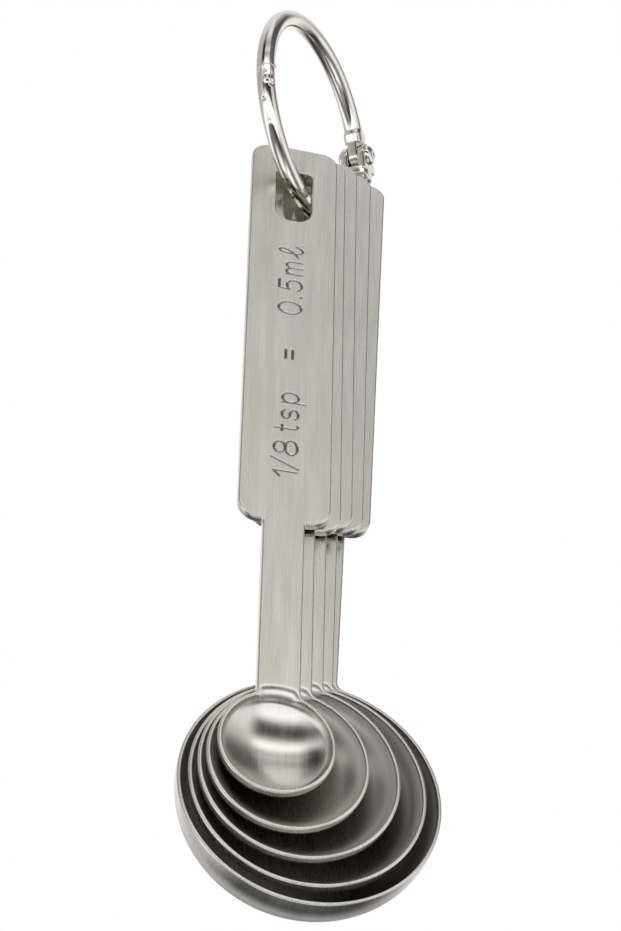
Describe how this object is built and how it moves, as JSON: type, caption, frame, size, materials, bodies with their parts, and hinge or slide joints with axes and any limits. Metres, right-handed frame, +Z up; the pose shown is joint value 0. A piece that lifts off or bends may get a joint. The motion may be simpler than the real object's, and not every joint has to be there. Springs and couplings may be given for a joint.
{
  "type": "nested measuring spoon set",
  "caption": "Nested set of flat-handled metal measuring spoons with round bowls, hanging from a hinged snap ring through slots in the handles.",
  "frame": {"origin": "the point inside the top of the ring that a hook bears on", "axes": "+Z up from the bowls along the first handle to the ring, -Y out of the open side of the bowls, X across the handles; the set hangs below the origin"},
  "size_m": [0.043, 0.0375, 0.1872],
  "materials": {
    "spoon_steel": "brushed along the handle, satin",
    "ring_metal": "bright nickel plate",
    "rivet_metal": "bright nickel plate"
  },
  "bodies": {
    "ring_top": {"ring_upper_half": "ring_metal"},
    "ring_bottom": {"ring_lower_half": "ring_metal", "hinge_rivet": "rivet_metal"},
    "tablespoon": {"spoon_one_tablespoon": "spoon_steel"},
    "teaspoon": {"spoon_one_teaspoon": "spoon_steel"},
    "half_teaspoon": {"spoon_half_teaspoon": "spoon_steel"},
    "quarter_teaspoon": {"spoon_quarter_teaspoon": "spoon_steel"},
    "eighth_teaspoon": {"spoon_eighth_teaspoon": "spoon_steel"}
  },
  "joints": [
    {"name": "ring_hinge", "type": "hinge", "parent": "ring_top", "child": "ring_bottom", "pos_m": [0.0108, 0.01485, -0.01088], "axis": [0.7818, -0.6196, -0.0698], "range_deg": [0, 55]},
    {"name": "tablespoon_swing", "type": "hinge", "parent": "ring_bottom", "child": "tablespoon", "pos_m": [-0.00098, 0.00078, -0.01791], "axis": [-0.7818, 0.6196, 0.0698], "range_deg": [-8, 30]},
    {"name": "teaspoon_swing", "type": "hinge", "parent": "tablespoon", "child": "teaspoon", "pos_m": [-0.00098, 0.00078, -0.01791], "axis": [-0.7818, 0.6196, 0.0698], "range_deg": [0, 20]},
    {"name": "half_teaspoon_swing", "type": "hinge", "parent": "teaspoon", "child": "half_teaspoon", "pos_m": [-0.00098, 0.00078, -0.01791], "axis": [-0.7818, 0.6196, 0.0698], "range_deg": [0, 20]},
    {"name": "quarter_teaspoon_swing", "type": "hinge", "parent": "half_teaspoon", "child": "quarter_teaspoon", "pos_m": [-0.00098, 0.00078, -0.01791], "axis": [-0.7818, 0.6196, 0.0698], "range_deg": [0, 20]},
    {"name": "eighth_teaspoon_swing", "type": "hinge", "parent": "quarter_teaspoon", "child": "eighth_teaspoon", "pos_m": [-0.00098, 0.00078, -0.01791], "axis": [-0.7818, 0.6196, 0.0698], "range_deg": [0, 20]}
  ]
}
